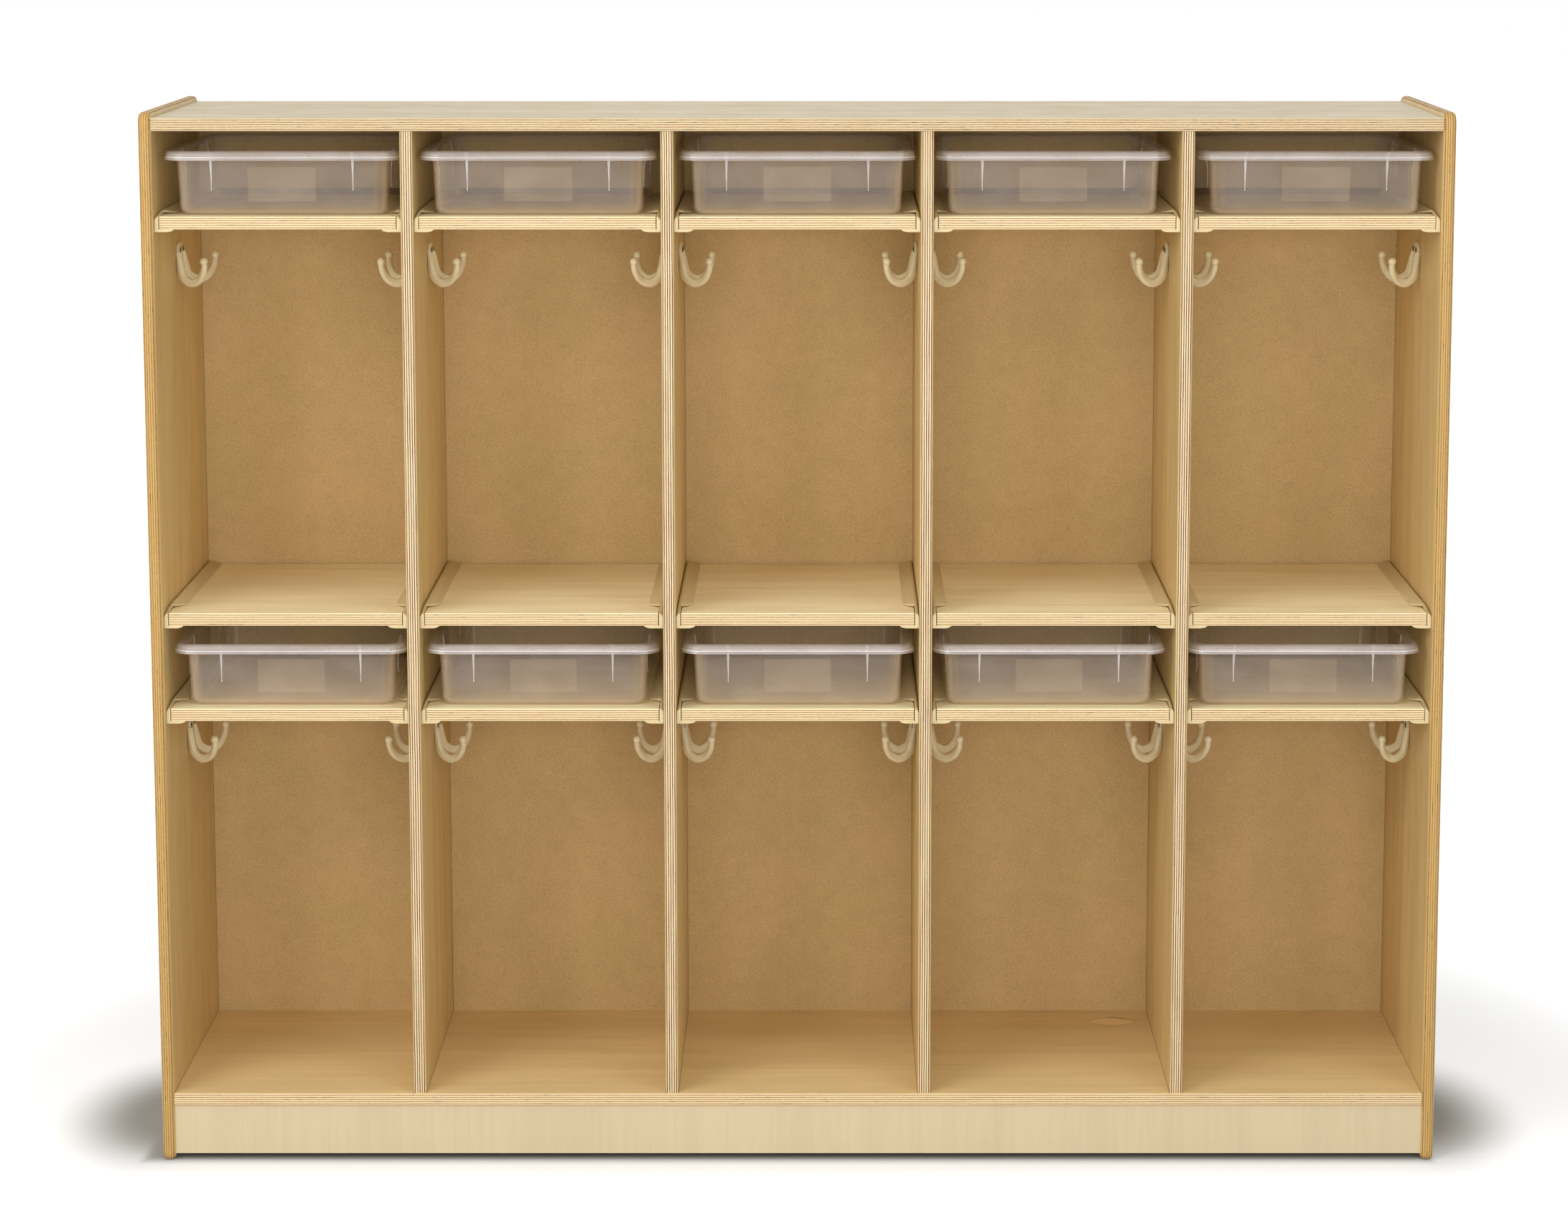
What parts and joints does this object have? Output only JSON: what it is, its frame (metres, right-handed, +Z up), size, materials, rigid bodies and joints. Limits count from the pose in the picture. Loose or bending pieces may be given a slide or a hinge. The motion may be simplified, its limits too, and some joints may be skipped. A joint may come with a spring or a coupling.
{
  "type": "cubby storage unit",
  "caption": "Open-fronted birch plywood cubby unit with stacked coat compartments, double-arm coat hooks, bracketed shelves and pull-out translucent trays.",
  "frame": {"origin": "on the floor, in the middle of the footprint", "axes": "+X to the right seen from the open front, +Y from the front to the back, +Z up"},
  "size_m": [1.524, 0.381, 1.254],
  "materials": {
    "birch_plywood": "clear satin lacquer",
    "hardboard": "bare pressed board",
    "beige_moulding": "satin moulded",
    "clear_plastic": "translucent frosted",
    "screw_steel": "zinc plated",
    "beech_dowel": "bare"
  },
  "bodies": {
    "cabinet": {"left_side_panel": "birch_plywood", "right_side_panel": "birch_plywood", "top_panel": "birch_plywood", "bottom_panel": "birch_plywood", "toe_board": "birch_plywood", "rear_rail": "birch_plywood", "divider_1": "birch_plywood", "divider_2": "birch_plywood", "divider_3": "birch_plywood", "divider_4": "birch_plywood", "back_panel": "hardboard", "upper_tray_shelf_1": "birch_plywood", "upper_tray_shelf_2": "birch_plywood", "upper_tray_shelf_3": "birch_plywood", "upper_tray_shelf_4": "birch_plywood", "upper_tray_shelf_5": "birch_plywood", "middle_shelf_1": "birch_plywood", "middle_shelf_2": "birch_plywood", "middle_shelf_3": "birch_plywood", "middle_shelf_4": "birch_plywood", "middle_shelf_5": "birch_plywood", "lower_tray_shelf_1": "birch_plywood", "lower_tray_shelf_2": "birch_plywood", "lower_tray_shelf_3": "birch_plywood", "lower_tray_shelf_4": "birch_plywood", "lower_tray_shelf_5": "birch_plywood", "left_shelf_brackets": "beige_moulding", "right_shelf_brackets": "beige_moulding", "upper_left_hook_1": "beige_moulding", "upper_right_hook_1": "beige_moulding", "upper_left_hook_2": "beige_moulding", "upper_right_hook_2": "beige_moulding", "upper_left_hook_3": "beige_moulding", "upper_right_hook_3": "beige_moulding", "upper_left_hook_4": "beige_moulding", "upper_right_hook_4": "beige_moulding", "upper_left_hook_5": "beige_moulding", "upper_right_hook_5": "beige_moulding", "lower_left_hook_1": "beige_moulding", "lower_right_hook_1": "beige_moulding", "lower_left_hook_2": "beige_moulding", "lower_right_hook_2": "beige_moulding", "lower_left_hook_3": "beige_moulding", "lower_right_hook_3": "beige_moulding", "lower_left_hook_4": "beige_moulding", "lower_right_hook_4": "beige_moulding", "lower_left_hook_5": "beige_moulding", "lower_right_hook_5": "beige_moulding", "wood_screws": "screw_steel", "panel_dowels": "beech_dowel"},
    "upper_tray_1": {"upper_tray_1": "clear_plastic"},
    "upper_tray_2": {"upper_tray_2": "clear_plastic"},
    "upper_tray_3": {"upper_tray_3": "clear_plastic"},
    "upper_tray_4": {"upper_tray_4": "clear_plastic"},
    "upper_tray_5": {"upper_tray_5": "clear_plastic"},
    "lower_tray_1": {"lower_tray_1": "clear_plastic"},
    "lower_tray_2": {"lower_tray_2": "clear_plastic"},
    "lower_tray_3": {"lower_tray_3": "clear_plastic"},
    "lower_tray_4": {"lower_tray_4": "clear_plastic"},
    "lower_tray_5": {"lower_tray_5": "clear_plastic"}
  },
  "joints": [
    {"name": "upper_tray_1_slide", "type": "slide", "parent": "cabinet", "child": "upper_tray_1", "axis": [0, -1, 0], "range_m": [0, 0.36]},
    {"name": "upper_tray_2_slide", "type": "slide", "parent": "cabinet", "child": "upper_tray_2", "axis": [0, -1, 0], "range_m": [0, 0.36]},
    {"name": "upper_tray_3_slide", "type": "slide", "parent": "cabinet", "child": "upper_tray_3", "axis": [0, -1, 0], "range_m": [0, 0.36]},
    {"name": "upper_tray_4_slide", "type": "slide", "parent": "cabinet", "child": "upper_tray_4", "axis": [0, -1, 0], "range_m": [0, 0.36]},
    {"name": "upper_tray_5_slide", "type": "slide", "parent": "cabinet", "child": "upper_tray_5", "axis": [0, -1, 0], "range_m": [0, 0.36]},
    {"name": "lower_tray_1_slide", "type": "slide", "parent": "cabinet", "child": "lower_tray_1", "axis": [0, -1, 0], "range_m": [0, 0.36]},
    {"name": "lower_tray_2_slide", "type": "slide", "parent": "cabinet", "child": "lower_tray_2", "axis": [0, -1, 0], "range_m": [0, 0.36]},
    {"name": "lower_tray_3_slide", "type": "slide", "parent": "cabinet", "child": "lower_tray_3", "axis": [0, -1, 0], "range_m": [0, 0.36]},
    {"name": "lower_tray_4_slide", "type": "slide", "parent": "cabinet", "child": "lower_tray_4", "axis": [0, -1, 0], "range_m": [0, 0.36]},
    {"name": "lower_tray_5_slide", "type": "slide", "parent": "cabinet", "child": "lower_tray_5", "axis": [0, -1, 0], "range_m": [0, 0.36]}
  ]
}
